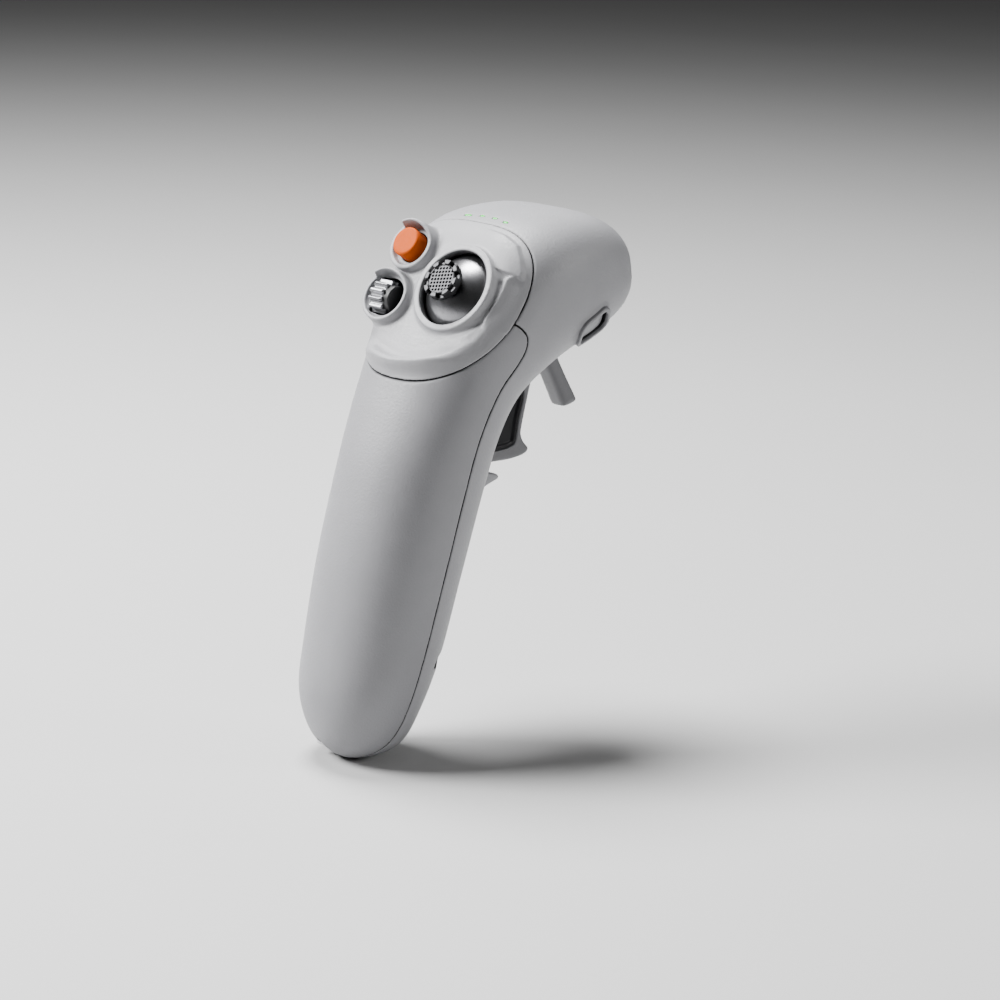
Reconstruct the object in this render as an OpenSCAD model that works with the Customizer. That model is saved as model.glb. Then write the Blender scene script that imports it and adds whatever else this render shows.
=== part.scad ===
// One-handed motion controller for a remote control model: a raked hand grip under a short head,
// with a thumb panel at the back of the head and a rocking trigger under it.
// +X is the user's right, +Y is forwards out of the nose and +Z is up.
// Positions are first given from the centre of the joystick ring's plane, and place() moves
// the whole part so that its origin is the bottom centre of its bounding box.

/* [Body] */
// Thickness of the moulded shells
wall = 2; // [1.6:0.1:2.4]
// Gap at the seams between shells
seam_gap = 0.3; // [0.2:0.05:0.4]
// Number of sides of one skin section
skin_sides = 36; // [24:4:48]
// Skin sections between two design stations
skin_steps = 2; // [1:1:3]

/* [Thumb panel] */
// Lean of the thumb panel, from level to facing straight up its normal
panel_tilt = 58.4; // [55:0.1:62]
// Distance of the joystick's axis from the middle plane
stick_x = 6; // [4:0.5:7]
// Radius of the opening in the joystick ring
ring_r = 10.6; // [10:0.1:11]
// Radius of the joystick's dome
dome_r = 13.8; // [13:0.1:13.8]
// Depth of the joystick's pivot below the ring's plane
gimbal_depth = 12; // [11.8:0.1:12.2]
// Radius of the joystick's cap
cap_r = 5.4; // [4.5:0.1:5.6]
// Radius of the lock button's cap
lock_r = 4.1; // [3.5:0.1:4.3]
// Radius of the thumb wheel over its ribs
dial_r = 4.8; // [4.5:0.1:4.9]
// Width of the thumb wheel
dial_w = 5.8; // [5:0.1:6]

/* [Trigger] */
// Width of the lower trigger
trigger_w = 9; // [7:0.5:9]
// Width of the front lever
lever_w = 5.4; // [4:0.2:6]
// Radius of the trigger's hinge pin
pin_r = 1.5; // [1.2:0.1:1.6]

/* [Inside] */
// Radius of the round battery cell
cell_r = 9.2; // [8:0.1:9.3]
// Length of the battery cell
cell_l = 65; // [50:1:65]
// Thickness of the circuit boards
board_t = 1.2; // [0.8:0.1:1.6]

/* [Hidden] */
$fn = 48;
eps = 0.01;
fit = 0.05;

// Bottom centre of the whole part, seen from the joystick ring's centre plane
base_y = 11;
base_z = -124.6;

// Design stations of the outer skin, from the grip's bottom end to the nose.
// Each row: [y, z of the outer line], [y, z of the inner line], half width, outer and inner roundness.
stations = [
  [-30.5, -124.2, -20.0, -124.6, 5.5, 2.1, 2.1],
  [-36.2, -117.5, -12.5, -120.5, 12.5, 2.1, 2.1],
  [-38.9, -106.0, -7.5, -112.0, 16.2, 2.15, 2.1],
  [-36.4, -92.0, -1.8, -98.0, 18.0, 2.2, 2.15],
  [-31.7, -70.0, 4.3, -77.0, 19.0, 2.2, 2.2],
  [-25.2, -47.5, 11.8, -53.0, 19.6, 2.2, 2.2],
  [-19.4, -33.0, 16.2, -40.0, 20.3, 2.3, 2.2],
  [-13.0, -19.5, 21.6, -31.5, 21.4, 2.4, 2.2],
  [-4.0, -3.0, 28.5, -25.8, 24.5, 2.6, 2.3],
  [7.0, 9.6, 36.0, -22.2, 26.0, 2.7, 2.4],
  [19.0, 15.7, 43.0, -19.6, 26.2, 2.9, 2.5],
  [34.5, 17.4, 50.0, -16.8, 25.2, 3.1, 2.5],
  [47.5, 15.8, 55.2, -13.8, 23.0, 3.2, 2.5],
  [56.0, 9.5, 58.6, -9.8, 18.5, 3.0, 2.4],
  [60.6, 1.0, 60.6, -4.0, 8.0, 2.4, 2.2]
];

// The thumb panel's seam is an arc in the side view, the same all across the part
seam_r = 54.2;
seam_y = -36.9;
seam_z = 26.1;

// Side-view line between the palm shell and the main shell, from the panel's seam down
palm_seam = [[2, -6.4], [6.5, -8.2], [9.6, -11.3], [9.8, -15], [7.8, -19.3], [3.6, -25.7],
             [-2, -37.5], [-6.7, -53.4], [-13.8, -79.2], [-20.6, -105], [-23.5, -114.5],
             [-27, -121], [-33, -130]];

// Heights and places over the joystick ring's plane, in the thumb panel's own directions
face_w = -1.5;
lock_at = [-13.3, 8.8];
dial_at = [-14.7, -6.2];
dial_axis_w = -1.6;

trigger_y = 40;
trigger_z = -15;
side_at = [23.0, 36.4, -11.4];
side_tilt = 33;
side_turn = 22;
// Height of the shell's recess that seats the side button's bezel, against the skin
bezel_seat = -1.5;
front_at = [0, 40, 6.8];
front_l = 33;
front_w = 7.4;

function blend4(a, b, c, d, f) =
  0.5 * ((2 * b) + (c - a) * f + (2 * a - 5 * b + 4 * c - d) * f * f + (3 * b - a - 3 * c + d) * f * f * f);
function at_station(rows, t) = let (
    last = len(rows) - 1,
    i = min(floor(t), last - 1),
    b = rows[i],
    c = rows[i + 1],
    a = i > 0 ? rows[i - 1] : 2 * b - c,
    d = i + 2 <= last ? rows[i + 2] : 2 * c - b
  ) blend4(a, b, c, d, t - i);
function smooth(points, steps) =
  [for (k = [0 : (len(points) - 1) * steps]) at_station(points, k / steps)];
function skin_ring(row, inset) = let (
    outer = [row[0], row[1]],
    inner = [row[2], row[3]],
    into = (inner - outer) / norm(inner - outer),
    half = (inner - outer) / 2 - into * inset,
    middle = (outer + inner) / 2,
    a = row[4] - inset
  ) [for (k = [0 : skin_sides - 1]) let (
      angle = 360 * k / skin_sides,
      c = cos(angle),
      s = sin(angle),
      n = s > 0 ? row[5] : row[6],
      q = sign(s) * pow(abs(s), 2 / n),
      p = middle - q * half
    ) [a * sign(c) * pow(abs(c), 2 / n), p[0], p[1]]];

// The closed skin of the whole body, set in by a distance, between two stations
module skin(inset, first, last) {
  count = round((last - first) * skin_steps);
  points = [for (i = [0 : count])
    each skin_ring(at_station(stations, first + (last - first) * i / count), inset)];
  sides = [for (i = [0 : count - 1], k = [0 : skin_sides - 1]) let (
      a = i * skin_sides + k,
      b = i * skin_sides + (k + 1) % skin_sides
    ) each [[a, b, b + skin_sides], [a, b + skin_sides, a + skin_sides]]];
  ends = [[for (k = [skin_sides - 1 : -1 : 0]) k],
          [for (k = [0 : skin_sides - 1]) count * skin_sides + k]];
  polyhedron(points, concat(sides, ends), convexity = 6);
}
module outer_skin() skin(0, 0, len(stations) - 1);
module inner_skin() skin(wall, 0.7, len(stations) - 1.5);

// Frames of reference
module place() translate([0, -base_y, -base_z]) children();
module in_panel() rotate([panel_tilt, 0, 0]) children();
module on_stick() in_panel() translate([stick_x, 0, -gimbal_depth]) children();
module side_view(width) rotate([90, 0, 90]) linear_extrude(width, center = true) children();
module across(length, r) rotate([0, 90, 0]) cylinder(length, r, r, center = true);
module along_y(length, r) rotate([-90, 0, 0]) cylinder(length, r, r);
module on_side_button() translate(side_at) rotate([0, 90 + side_tilt, 0]) rotate([0, 0, 90 + side_turn])
  children();
module on_front_button() translate(front_at) rotate([-90, 0, 0]) children();
module on_trigger() translate([0, trigger_y, trigger_z]) children();
module on_cell() translate([0, -14.6, -75]) rotate([-15.8, 0, 0]) children();
module pill(length, width, height) linear_extrude(height) hull()
  for (side = [-1, 1]) translate([side * (length - width) / 2, 0]) circle(width / 2);
module pill_block(length, width, height) {
  translate([-(length - width) / 2, -width / 2, 0]) cube([length - width, width, height]);
  for (side = [-1, 1]) translate([side * (length - width) / 2, 0, 0]) cylinder(height, width / 2, width / 2);
}
module round_block(size, r) {
  for (x = [-1, 1], y = [-1, 1])
    translate([x * (size[0] / 2 - r), y * (size[1] / 2 - r), 0]) cylinder(size[2], r, r);
  translate([-size[0] / 2 + r, -size[1] / 2, 0]) cube([size[0] - 2 * r, size[1], size[2]]);
  translate([-size[0] / 2, -size[1] / 2 + r, 0]) cube([size[0], size[1] - 2 * r, size[2]]);
}

// Cutters shared by the shells
module panel_side(grow) translate([0, seam_y, seam_z]) across(90, seam_r + grow);
module palm_side(shift) translate([0, shift, 0])
  side_view(90) polygon(concat(smooth(palm_seam, 3), [[-70, -140], [-70, 20]]));

// Screw posts that join the palm shell to the main shell: x, z, y of the screw head's seat
post_x = 14;
posts = [[-44, 2], [-98, -15]];
post_r = 2.6;
screw_r = 1;
head_r = 1.9;
head_t = 1.3;
screw_l = 13;
chassis_posts = [[11.5, 33], [11.5, 51]];
chassis_top = -6;
module shell_posts() for (x = [-1, 1], p = posts)
  translate([x * post_x, -45, p[0]]) along_y(70, post_r);
module head_posts() for (x = [-1, 1], p = chassis_posts)
  translate([x * p[0], p[1], chassis_top]) cylinder(30, 2.4, 2.4);
module screw_holes() {
  for (x = [-1, 1], p = posts) translate([x * post_x, p[1], p[0]]) {
    translate([0, -screw_l - 0.5, 0]) along_y(screw_l + 1, screw_r + fit);
    along_y(25, head_r + 0.3);
  }
  for (x = [-1, 1], p = chassis_posts)
    translate([x * p[0], p[1], chassis_top - 1]) cylinder(9, screw_r + fit, screw_r + fit);
}
module cavity() difference() {
  inner_skin();
  shell_posts();
  head_posts();
}
flap_l = 16;
flap_w = 10;
flap_at = [0, -23.2, -128];
module flap_prism(grow) translate(flap_at) pill_block(flap_l + 2 * grow, flap_w + 2 * grow, 12);
// The flap turns about its rolled rear edge
flap_hinge = [0, -27.35, -123.45];
flap_roll_r = 0.85;
lanyard_at = [-4, -31.6, -120.6];
module lanyard_slot() translate(lanyard_at) rotate([-37, 0, 0]) translate([0, 0, -5])
  rotate([0, 0, 90]) pill_block(6.4, 2.4, 10);
module lanyard_bar(r) translate([lanyard_at[0], -31.2, -121]) across(5.6, r);

module main_shell() color("gainsboro") place() difference() {
  union() {
    difference() {
      outer_skin();
      cavity();
    }
    // Finger guard under the trigger
    side_view(8) polygon([[9.8, -53], [20.5, -53.4], [24, -54.4], [25.2, -55.4], [24.6, -56.6], [20, -57.8],
                          [12, -61], [8, -64.5]]);
  }
  panel_side(seam_gap / 2);
  palm_side(seam_gap);
  screw_holes();
  // Trigger slot and lever slot
  side_view(trigger_w + 1.2) polygon([[10, -52.6], [10, -42], [13, -34], [20, -25], [29, -16.6], [44.5, -16.6],
                                      [44.5, -30], [30, -52.6]]);
  side_view(lever_w + 1.2) polygon([[38, -17.4], [50.5, -17.4], [52.5, -28], [38, -28]]);
  for (i = [0 : 3]) light_place(i) cylinder(8, 0.75, 0.75, center = true);
  on_side_button() {
    translate([0, 0, -8]) round_block([10.6, 7.6, 16], 2.6);
    translate([0, 0, bezel_seat - fit]) round_block([12.7, 9.7, 16], 3.45);
  }
  on_front_button() pill_block(front_l + 0.1, front_w + 0.1, 30);
  flap_prism(0.3);
  lanyard_slot();
  lanyard_bar(1 + fit);
}

module palm_shell() color("silver") place() difference() {
  intersection() {
    difference() {
      outer_skin();
      cavity();
    }
    palm_side(0);
  }
  panel_side(seam_gap / 2);
  screw_holes();
  flap_prism(0.3);
  lanyard_slot();
  lanyard_bar(1 + fit);
}

// Raised cup of a thumb control, with a higher hood round part of its rim
module cup(r, lip_w, hood_w, hood_from, hood_to) {
  translate([0, 0, -7]) cylinder(lip_w + 7, r, r);
  translate([0, 0, lip_w - eps]) intersection() {
    cylinder(hood_w - lip_w, r, r);
    linear_extrude(10) polygon(concat([[0, 0]],
      [for (a = [hood_from : (hood_to - hood_from) / 6 : hood_to]) 3 * r * [cos(a), sin(a)]]));
  }
}
module thumb_panel() color("gainsboro") place() difference() {
  intersection() {
    union() {
      difference() {
        outer_skin();
        in_panel() translate([-40, -15, face_w]) cube([80, 60, 30]);
      }
      in_panel() {
        translate([stick_x, 0, -5]) cylinder(5, ring_r + 1.9, ring_r + 1.9);
        translate(lock_at) cup(7, 1.3, 3.4, -10, 135);
        translate(dial_at) cup(6.8, 1, 3.1, 20, 140);
      }
    }
    panel_side(-seam_gap / 2);
  }
  difference() {
    inner_skin();
    in_panel() {
      translate([stick_x, 0, -12]) cylinder(14, 16, 16);
      translate([-26, -26, -4.4]) cube([52, 50, 10]);
      translate(lock_at) translate([0, 0, -6]) cylinder(8, 7, 7);
      translate(dial_at) translate([0, 0, -5]) cylinder(8, 7, 7);
    }
  }
  on_stick() {
    sphere(dome_r + 0.5, $fn = 64);
    cylinder(30, ring_r, ring_r);
    translate([0, 0, -20]) cylinder(20 + 3.4, 15.4, 15.4);
  }
  in_panel() {
    translate(lock_at) {
      translate([0, 0, -0.9]) cylinder(8, 5.6, 5.6);
      translate([0, 0, -12]) cylinder(20, lock_r + 0.3, lock_r + 0.3);
    }
    translate(dial_at) {
      translate([0, 0, -6]) cylinder(12, 5.4, 5.4);
      cube([dial_w + 0.6, 2 * dial_r + 0.7, 12], center = true);
      translate([0, 0, -18.9]) cube([9.4, 12.4, 30], center = true);
    }
  }
}

module usb_flap() color("dimgray") place() {
  intersection() {
    difference() {
      outer_skin();
      inner_skin();
    }
    flap_prism(0);
    translate([-20, flap_hinge[1], -130]) cube([40, 30, 12]);
  }
  translate(flap_hinge) across(8, flap_roll_r);
}

module side_bezel() color("silver") place() on_side_button() difference() {
  union() {
    translate([0, 0, bezel_seat]) round_block([12.6, 9.6, 1.4 - bezel_seat], 3.4);
    translate([0, 0, -3]) round_block([10.4, 7.4, 3], 2.5);
  }
  translate([0, 0, -4]) round_block([10.2, 7.2, 8], 2.4);
}
// A layer of the nose that follows its skin, inside the outline of the front button
module nose_layer(length, width, out, in) intersection() {
  on_front_button() pill_block(length, width, 30);
  difference() {
    skin(-out, 9, len(stations) - 1);
    skin(in, 9, len(stations) - 1);
  }
}
module front_bezel() color("silver") place() difference() {
  nose_layer(front_l, front_w, 0.9, 1.6);
  on_front_button() pill_block(front_l - 3, front_w - 3, 30);
}

module chassis() color("dimgray") place() difference() {
  union() {
    translate([-14, 29, -8]) cube([28, 24.6, 2 - eps]);
    for (x = [-1, 1]) {
      translate([x * 7.2 - 1, trigger_y - 3.2, trigger_z]) cube([2, 6.4, 8]);
      translate([x * 7.2, trigger_y, trigger_z]) across(2, 3.2);
    }
  }
  on_trigger() across(30, pin_r + fit);
  for (x = [-1, 1], p = chassis_posts)
    translate([x * p[0], p[1], -10]) cylinder(9, screw_r + fit, screw_r + fit);
}
module screw() {
  cylinder(screw_l, screw_r, screw_r);
  translate([0, 0, -head_t]) difference() {
    cylinder(head_t, head_r, head_r);
    translate([0, 0, -eps]) cylinder(0.7, 0.8, 0.8, $fn = 6);
  }
}
module chassis_screws() color("dimgray") place() for (x = [-1, 1], p = chassis_posts)
  translate([x * p[0], p[1], -8]) scale(0.7) screw_short();
module screw_short() {
  cylinder(12, screw_r / 0.7, screw_r / 0.7);
  translate([0, 0, -1.6]) cylinder(1.6, head_r / 0.7, head_r / 0.7);
}
module shell_screws() color("dimgray") place() for (x = [-1, 1], p = posts)
  translate([x * post_x, p[1], p[0]]) rotate([90, 0, 0]) screw();

module gimbal_base() color("dimgray") place() on_stick() difference() {
  union() {
    difference() {
      translate([0, 0, -12]) cylinder(15, 15.3, 15.3);
      sphere(dome_r + 0.6, $fn = 64);
      translate([0, 0, -10]) cylinder(10, 12.6, 12.6);
    }
    for (x = [-1, 1]) translate([x * 10.2 - 1, -2, -11]) cube([2, 4, 12.6]);
  }
  across(40, 1 + fit);
}
module gimbal_ring() color("silver") place() on_stick() {
  difference() {
    translate([0, 0, -1.5]) cylinder(3, 8, 8);
    translate([0, 0, -2]) cylinder(4, 6.6, 6.6);
    rotate([90, 0, 0]) cylinder(20, 1 + fit, 1 + fit, center = true);
  }
  for (x = [-1, 1]) translate([x * 9.3, 0, 0]) across(2.8, 1);
}
module stick_shaft() color("silver") place() on_stick() {
  cylinder(16.4, 2, 2);
  sphere(3.4);
  for (y = [-1, 1]) translate([0, y * 5.2, 0]) rotate([90, 0, 0]) cylinder(5, 1, 1, center = true);
}
module stick_dome() color("gray") place() on_stick() difference() {
  sphere(dome_r, $fn = 64);
  sphere(dome_r - 0.9, $fn = 64);
  translate([0, 0, -20 + 3.6]) cube([40, 40, 40], center = true);
  cylinder(20, 2 + fit, 2 + fit);
}
module stick_cap() color("silver") place() on_stick() translate([0, 0, 13.9]) difference() {
  union() {
    cylinder(1.2, 3.4, cap_r);
    translate([0, 0, 1.2]) cylinder(2.4, cap_r, cap_r);
  }
  translate([0, 0, 3]) cylinder(2, 3.9, 3.9);
  for (a = [0 : 45 : 315]) rotate([0, 0, a]) translate([cap_r - 0.8, -0.7, 2.8]) cube([2, 1.4, 2]);
  translate([0, 0, -eps]) cylinder(2.5 + eps, 2 + fit, 2 + fit);
}

module lock_button() color("orangered") place() in_panel() translate(lock_at) {
  translate([0, 0, -6]) cylinder(8.6, lock_r, lock_r);
  translate([0, 0, 2.6 - eps]) cylinder(0.7, lock_r, lock_r - 0.7);
  translate([0, 0, -7]) cylinder(1.2, 1.4, 1.4);
}
module lock_switch() color("black") place() in_panel() translate(lock_at) translate([0, 0, -9.9]) {
  translate([-3, -3, -1.9]) cube([6, 6, 2]);
  cylinder(1.4, 1.5, 1.5);
}
module dial_wheel() color("whitesmoke") place() in_panel()
  translate([dial_at[0], dial_at[1], dial_axis_w]) {
    difference() {
      across(dial_w, dial_r);
      for (a = [0 : 30 : 330]) rotate([a, 0, 0]) translate([0, 0, dial_r + 0.35]) across(dial_w + 1, 0.95);
    }
    across(dial_w + 1.8, 1);
  }
module dial_bracket() color("black") place() intersection() {
  skin(wall + 0.3, 1, len(stations) - 2);
  in_panel() translate([dial_at[0], dial_at[1], dial_axis_w]) difference() {
    union() {
      translate([-4.5, -5.9, -7.2]) cube([9, 11.8, 4.8]);
      for (x = [-1, 1]) translate([x * 3.8 - 0.45, -1.6, -7.2]) cube([0.9, 3.2, 8.6]);
    }
    translate([-3.35, -5.3, -5.5]) cube([6.7, 10.6, 12]);
    across(20, 1 + fit);
  }
}
module thumb_board() color("seagreen") place() in_panel() difference() {
  translate([-20.5, -12, -13.2]) cube([10.6, 25, board_t]);
  translate([stick_x, 0, -20]) cylinder(20, 15.6, 15.6);
}

module side_button() color("silver") place() on_side_button() {
  translate([0, 0, -1.6]) round_block([9.7, 6.7, 2.2], 2.2);
  translate([0, 0, -2.6]) cylinder(1.1, 1.3, 1.3);
}
module side_switch() color("black") place() on_side_button() {
  translate([-2.4, -2.4, -6.4]) cube([4.8, 4.8, 2]);
  translate([0, 0, -4.4 - eps]) cylinder(0.6, 1, 1);
}
module front_button() color("silver") place() {
  nose_layer(front_l - 3.4, front_w - 3.4, 0.6, 1.4);
  on_front_button() translate([0, 0, 14.4]) cylinder(3.5, 1.4, 1.4);
}
module front_switch() color("black") place() on_front_button() {
  translate([-2.6, -2.6, 11]) cube([5.2, 4.1, 2.2]);
  translate([0, 0, 13.2 - eps]) cylinder(0.4, 1.1, 1.1);
}

// Side outline of the rocking trigger: a hub, the curved lower trigger and the front lever
lower_trigger = [[38.2, -17.2], [36.4, -26], [34.8, -32], [33.3, -38], [32.2, -43], [32.2, -45], [33.4, -47],
                 [35.2, -48.8], [34.9, -50], [33, -50.8], [28, -51.2], [21, -50.9], [10.5, -50.2],
                 [9.8, -46], [11.8, -40], [15, -33.5], [20, -27], [28, -21], [36.8, -15]];
front_lever = [[41, -12.6], [43.5, -17], [47.5, -24.5], [50.6, -29.4], [54.2, -34.6], [56.8, -38.6],
               [55.2, -39.8], [52.2, -40.2], [51, -39.4], [48.6, -35.4], [45.6, -30.6], [42.4, -26],
               [39, -21], [37.4, -17]];
inlay_outline = [[32.2, -33.4], [30.6, -40], [29.6, -46], [28, -47.4], [24, -47.8], [13, -47.4], [13.5, -43],
                 [17, -37], [22, -31.5], [30, -30.4]];
module trigger() color("lightgray") place() difference() {
  union() {
    side_view(trigger_w) polygon(lower_trigger);
    side_view(lever_w) polygon(front_lever);
    on_trigger() across(trigger_w, 3.2);
  }
  on_trigger() across(30, pin_r + fit);
  for (x = [-1, 1]) translate([x * trigger_w / 2, 0, 0]) side_view(2) polygon(inlay_outline);
  translate([-1.5, 30.6, -24.2]) cube([3, 3.2, 3.2]);
}
module trigger_inlay() color("black") place() for (x = [-1, 1])
  translate([x * (trigger_w / 2 - 0.65), 0, 0]) side_view(0.7) polygon(inlay_outline);
module trigger_pin() color("silver") place() on_trigger() across(17.4, pin_r);
module trigger_spring() color("gray") place() on_trigger() for (i = [0 : 2])
  translate([4.95 + 0.42 * i, 0, 0]) rotate([0, 90, 0]) rotate_extrude() translate([2.3, 0]) circle(0.19);
module hall_magnet() color("silver") place() translate([-1.4, 30.7, -24.1]) cube([2.8, 3, 3]);
module hall_board() color("seagreen") place() translate([-6, 24, -16.2]) cube([12, 7, board_t]);

module main_board() color("seagreen") place() difference() {
  union() {
    translate([-18, 29, 4]) cube([36, 24, board_t]);
    translate([-8, 36, 4 + board_t - eps]) cube([14, 12, 1.6]);
    translate([-6, 30, 4 + board_t - eps]) cube([10, 4, 1]);
  }
  for (x = [-1, 1], p = chassis_posts) translate([x * p[0], p[1], 0]) cylinder(12, 2.7, 2.7);
}
light_x = [-6.5, -2, 2.5, 7];
module light_place(i) translate([light_x[i], 19.6 - 0.018 * light_x[i] * light_x[i], 15]) children();
module light_pipes() color("lime") place() for (i = [0 : 3]) light_place(i)
  translate([0, 0, -3]) cylinder(4.2, 0.7, 0.7);
module antenna() color("goldenrod") place() translate([-8.5, 28, 12.4]) cube([17, 18, 0.4]);

module battery_cell() color("seagreen") place() on_cell() {
  cylinder(cell_l, cell_r, cell_r, center = true);
  translate([0, 0, cell_l / 2 - eps]) cylinder(1, 3, 3);
}
module battery_cradle() color("dimgray") place() on_cell() difference() {
  translate([0, 0, 0]) cylinder(cell_l + 5, 11, 11, center = true);
  cylinder(cell_l + 2.4, cell_r + 0.2, cell_r + 0.2, center = true);
  translate([0, 12, 0]) cube([30, 22, 80], center = true);
}
module vibration_motor() color("silver") place() translate([0, -2.5, -32]) rotate([-75, 0, 0])
  cylinder(3.2, 5, 5);
module power_board() color("seagreen") place() translate([-7, -20.4, -119.6]) cube([14, board_t, 9]);
module usb_socket() color("silver") place() translate([0, -22.3, -120.2]) difference() {
  translate([0, 0, 0]) linear_extrude(7) square([8.9, 3.2], center = true);
  translate([0, 0, -1]) linear_extrude(7) square([8.3, 2.6], center = true);
}
module lanyard_pin() color("silver") place() lanyard_bar(1);

main_shell();
palm_shell();
thumb_panel();
usb_flap();
side_bezel();
front_bezel();
chassis();
chassis_screws();
shell_screws();
gimbal_base();
gimbal_ring();
stick_shaft();
stick_dome();
stick_cap();
lock_button();
lock_switch();
dial_wheel();
dial_bracket();
thumb_board();
side_button();
side_switch();
front_button();
front_switch();
trigger();
trigger_inlay();
trigger_pin();
trigger_spring();
hall_magnet();
hall_board();
main_board();
light_pipes();
antenna();
battery_cell();
battery_cradle();
vibration_motor();
power_board();
usb_socket();
lanyard_pin();
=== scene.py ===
import math

import bpy
import numpy as np
from mathutils import Matrix, Vector


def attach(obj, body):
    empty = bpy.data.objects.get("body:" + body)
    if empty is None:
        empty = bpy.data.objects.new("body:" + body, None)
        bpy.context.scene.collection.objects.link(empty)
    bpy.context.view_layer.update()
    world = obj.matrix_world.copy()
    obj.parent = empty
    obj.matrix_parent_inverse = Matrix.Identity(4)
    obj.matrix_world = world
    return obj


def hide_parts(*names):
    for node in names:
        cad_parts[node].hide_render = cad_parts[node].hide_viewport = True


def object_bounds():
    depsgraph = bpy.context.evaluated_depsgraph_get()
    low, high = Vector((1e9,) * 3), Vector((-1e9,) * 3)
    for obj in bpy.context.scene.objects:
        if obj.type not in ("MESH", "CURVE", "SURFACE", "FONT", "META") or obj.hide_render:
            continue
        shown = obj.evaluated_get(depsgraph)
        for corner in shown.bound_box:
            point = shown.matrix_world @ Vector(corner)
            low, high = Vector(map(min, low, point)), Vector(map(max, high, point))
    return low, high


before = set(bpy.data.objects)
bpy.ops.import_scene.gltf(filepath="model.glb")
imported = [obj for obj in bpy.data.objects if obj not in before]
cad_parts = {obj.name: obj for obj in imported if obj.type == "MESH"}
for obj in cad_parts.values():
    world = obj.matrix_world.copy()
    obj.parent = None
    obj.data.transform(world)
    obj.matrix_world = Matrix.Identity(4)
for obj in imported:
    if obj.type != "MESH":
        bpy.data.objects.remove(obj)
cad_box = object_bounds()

# ---------------------------------------------------------------- design values, in millimetres
# Every shape is worked out in the design's own coordinates, measured from the centre of the
# joystick ring, and moved into the part's frame by to_frame().
MM = 0.001
BASE_Y = 11.0
BASE_Z = -124.6

# Cross sections from the grip's end to the nose: y, z of the outer line, y, z of the inner
# line, half width, and how square the outer and the inner halves of the section are
STATIONS = np.array([
    [-30.5, -124.2, -20.0, -124.6, 5.5, 2.1, 2.1],
    [-36.2, -117.5, -12.5, -120.5, 12.5, 2.1, 2.1],
    [-38.9, -106.0, -7.5, -112.0, 16.2, 2.15, 2.1],
    [-36.4, -92.0, -1.8, -98.0, 18.0, 2.2, 2.15],
    [-31.7, -70.0, 4.3, -77.0, 19.0, 2.2, 2.2],
    [-25.2, -47.5, 11.8, -53.0, 19.6, 2.2, 2.2],
    [-19.4, -33.0, 16.2, -40.0, 20.3, 2.3, 2.2],
    [-13.0, -19.5, 21.6, -31.5, 21.4, 2.4, 2.2],
    [-4.0, -3.0, 28.5, -25.8, 24.5, 2.6, 2.3],
    [7.0, 9.6, 36.0, -22.2, 26.0, 2.7, 2.4],
    [19.0, 15.7, 43.0, -19.6, 26.2, 2.9, 2.5],
    [34.5, 17.4, 50.0, -16.8, 25.2, 3.1, 2.5],
    [47.5, 15.8, 55.2, -13.8, 23.0, 3.2, 2.5],
    [56.0, 9.5, 58.6, -9.8, 18.5, 3.0, 2.4],
    [60.6, 1.0, 60.6, -4.0, 8.0, 2.4, 2.2],
])
WALL = 2.0

# The gaps between shells, the arc that parts the thumb panel, and the line that parts the palm shell
SEAM_GAP = 0.3
EDGE = 0.32
SEAM_R, SEAM_Y, SEAM_Z = 54.2, -36.9, 26.1
PALM_SEAM = [(2, -6.4), (6.5, -8.2), (9.6, -11.3), (9.8, -15), (7.8, -19.3), (3.6, -25.7),
             (-2, -37.5), (-6.7, -53.4), (-13.8, -79.2), (-20.6, -105), (-23.5, -114.5),
             (-27, -121), (-33, -130)]

# Controls on the thumb panel: x and u lie in its plane, w stands off it
PANEL_TILT = math.radians(58.4)
STICK_X = 6.0
GIMBAL_DEPTH = 12.0
RING_R = 10.6
RING_LIP = 12.35
DOME_R = 13.8
CAP_R = 5.4
LOCK_AT = (-13.3, 8.8)
LOCK_R = 4.1
DIAL_AT = (-14.7, -6.2)
DIAL_AXIS_W = -1.6
DIAL_R = 4.8
WHEEL_X = -15.9
WHEEL_W = 5.0

# Trigger, side and front buttons, charge lights and charging flap
TRIGGER_W = 9.0
LEVER_W = 6.2
TRIGGER_Y, TRIGGER_Z = 40.0, -15.0
SIDE_AT = np.array([23.0, 36.4, -11.4])
SIDE_TILT = math.radians(33)
SIDE_TURN = math.radians(22)
FRONT_Z = 6.8
FRONT_L, FRONT_W = 33.0, 7.4
LIGHT_X = (-6.5, -2.0, 2.5, 7.0)
FLAP_L, FLAP_W = 16.0, 10.0
FLAP_Y = -23.2


# ---------------------------------------------------------------- signed distance tools
def smooth_max(a, b, r):
    """The larger of two fields, with their crease rounded over about r."""
    h = np.maximum(r - np.abs(a - b), 0)
    return np.maximum(a, b) + h * h / (4 * r)


def smooth_min(a, b, r):
    """The smaller of two fields, with their crease filled over about r."""
    return -smooth_max(-a, -b, r)


def step_up(x, low, high):
    """Rises smoothly from 0 at low to 1 at high."""
    t = np.clip((x - low) / (high - low), 0, 1)
    return t * t * (3 - 2 * t)


def catmull(rows, t):
    """Points on the smooth curve through rows, at each value of t."""
    last = len(rows) - 1
    i = np.clip(np.floor(t).astype(int), 0, last - 1)
    ext = np.vstack([2 * rows[0] - rows[1], rows, 2 * rows[-1] - rows[-2]])
    a, b, c, d = (ext[i + k] for k in range(4))
    f = (t - i)[..., None]
    return 0.5 * (2 * b + (c - a) * f + (2 * a - 5 * b + 4 * c - d) * f ** 2
                  + (3 * b - a - 3 * c + d) * f ** 3)


def open_curve(points, steps=6):
    """A smooth line through points."""
    rows = np.array(points, float)
    return catmull(rows, np.linspace(0, len(rows) - 1, (len(rows) - 1) * steps + 1))


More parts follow.
